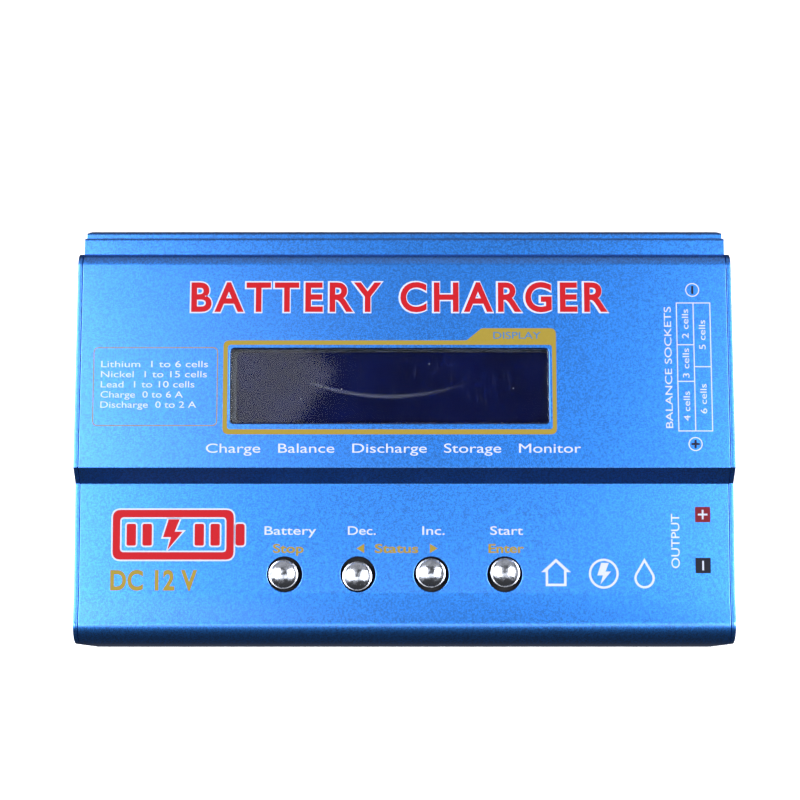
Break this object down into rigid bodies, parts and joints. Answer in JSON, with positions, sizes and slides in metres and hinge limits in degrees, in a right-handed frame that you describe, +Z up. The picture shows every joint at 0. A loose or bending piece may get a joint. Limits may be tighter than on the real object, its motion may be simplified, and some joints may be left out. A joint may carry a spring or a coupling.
{
  "type": "balance battery charger",
  "caption": "Bench charger for hobby batteries: finned metal case with a text display, domed push buttons, a barrel power input, balance sockets and banana output sockets.",
  "frame": {"origin": "on the ground, below the centre of the bounding box", "axes": "+X towards the output sockets, +Y towards the cooling fins, +Z up out of the display face"},
  "size_m": [0.133, 0.087, 0.033],
  "materials": {
    "shell": "blue anodised, fine bead-blasted",
    "black_steel": "black oxide",
    "foot_rubber": "matt black",
    "window_clear": "clear polished acrylic",
    "bezel_black": "satin black",
    "lcd_cell": "blue negative liquid-crystal cell",
    "diffuser": "milky",
    "circuit_board": "green solder mask",
    "black_plastic": "moulded black",
    "white_plastic": "natural nylon",
    "red_plastic": "moulded red",
    "orange_plastic": "clear orange",
    "sleeve_plastic": "dark blue shrink film",
    "cap_chrome": "bright",
    "tinned": "tin plated",
    "brass": "machined",
    "copper": "enamelled or bare copper",
    "ferrite": "yellow painted iron powder",
    "can_aluminium": "plain",
    "thermal_pad": "grey silicone",
    "ceramic": "white ceramic"
  },
  "bodies": {
    "case": {"top_cover": "shell", "base_tray": "shell", "left_end_plate": "shell", "right_end_plate": "shell", "end_plate_screws": "black_steel", "feet": "foot_rubber", "display_window": "window_clear", "lcd_bezel": "bezel_black", "lcd_glass": "lcd_cell", "lcd_backlight": "diffuser", "lcd_board": "circuit_board", "board_headers": "black_plastic", "solder_pins": "tinned", "lcd_standoffs": "white_plastic", "module_screws": "tinned", "keypad_board": "circuit_board", "keypad_standoffs": "brass", "switch_bodies": "black_plastic", "main_board": "circuit_board", "board_standoffs": "brass", "board_screws": "tinned", "microcontroller": "black_plastic", "small_chips": "black_plastic", "chip_leads": "tinned", "toroid_core": "ferrite", "toroid_winding": "copper", "capacitor_cans": "can_aluminium", "capacitor_sleeves": "sleeve_plastic", "transistor_bodies": "black_plastic", "transistor_tabs": "tinned", "transistor_pads": "thermal_pad", "transistor_clamp": "can_aluminium", "clamp_screws": "tinned", "shunt_resistors": "ceramic", "buzzer": "black_plastic", "crystal": "tinned", "fuse": "orange_plastic", "dc_jack_body": "black_plastic", "dc_jack_pin": "tinned", "dc_jack_spring": "brass", "temperature_port": "black_plastic", "balance_socket_2s": "white_plastic", "balance_socket_3s": "white_plastic", "balance_socket_4s": "white_plastic", "balance_socket_5s": "white_plastic", "balance_socket_6s": "white_plastic", "socket_pins": "tinned", "output_socket_positive": "red_plastic", "output_socket_negative": "black_plastic", "output_contacts": "brass", "output_nuts": "tinned", "output_busbars": "copper"},
    "button_stop": {"button_cap_stop": "cap_chrome", "plunger_stop": "white_plastic"},
    "button_dec": {"button_cap_dec": "cap_chrome", "plunger_dec": "white_plastic"},
    "button_inc": {"button_cap_inc": "cap_chrome", "plunger_inc": "white_plastic"},
    "button_start": {"button_cap_start": "cap_chrome", "plunger_start": "white_plastic"}
  },
  "joints": [
    {"name": "press_stop", "type": "slide", "parent": "case", "child": "button_stop", "axis": [0, 0.0622, -0.9981], "range_m": [0, 0.0003], "stiffness_N_per_m": 60, "springref_m": -0.0006},
    {"name": "press_dec", "type": "slide", "parent": "case", "child": "button_dec", "axis": [0, 0.0622, -0.9981], "range_m": [0, 0.0003], "stiffness_N_per_m": 60, "springref_m": -0.0006},
    {"name": "press_inc", "type": "slide", "parent": "case", "child": "button_inc", "axis": [0, 0.0622, -0.9981], "range_m": [0, 0.0003], "stiffness_N_per_m": 60, "springref_m": -0.0006},
    {"name": "press_start", "type": "slide", "parent": "case", "child": "button_start", "axis": [0, 0.0622, -0.9981], "range_m": [0, 0.0003], "stiffness_N_per_m": 60, "springref_m": -0.0006}
  ]
}
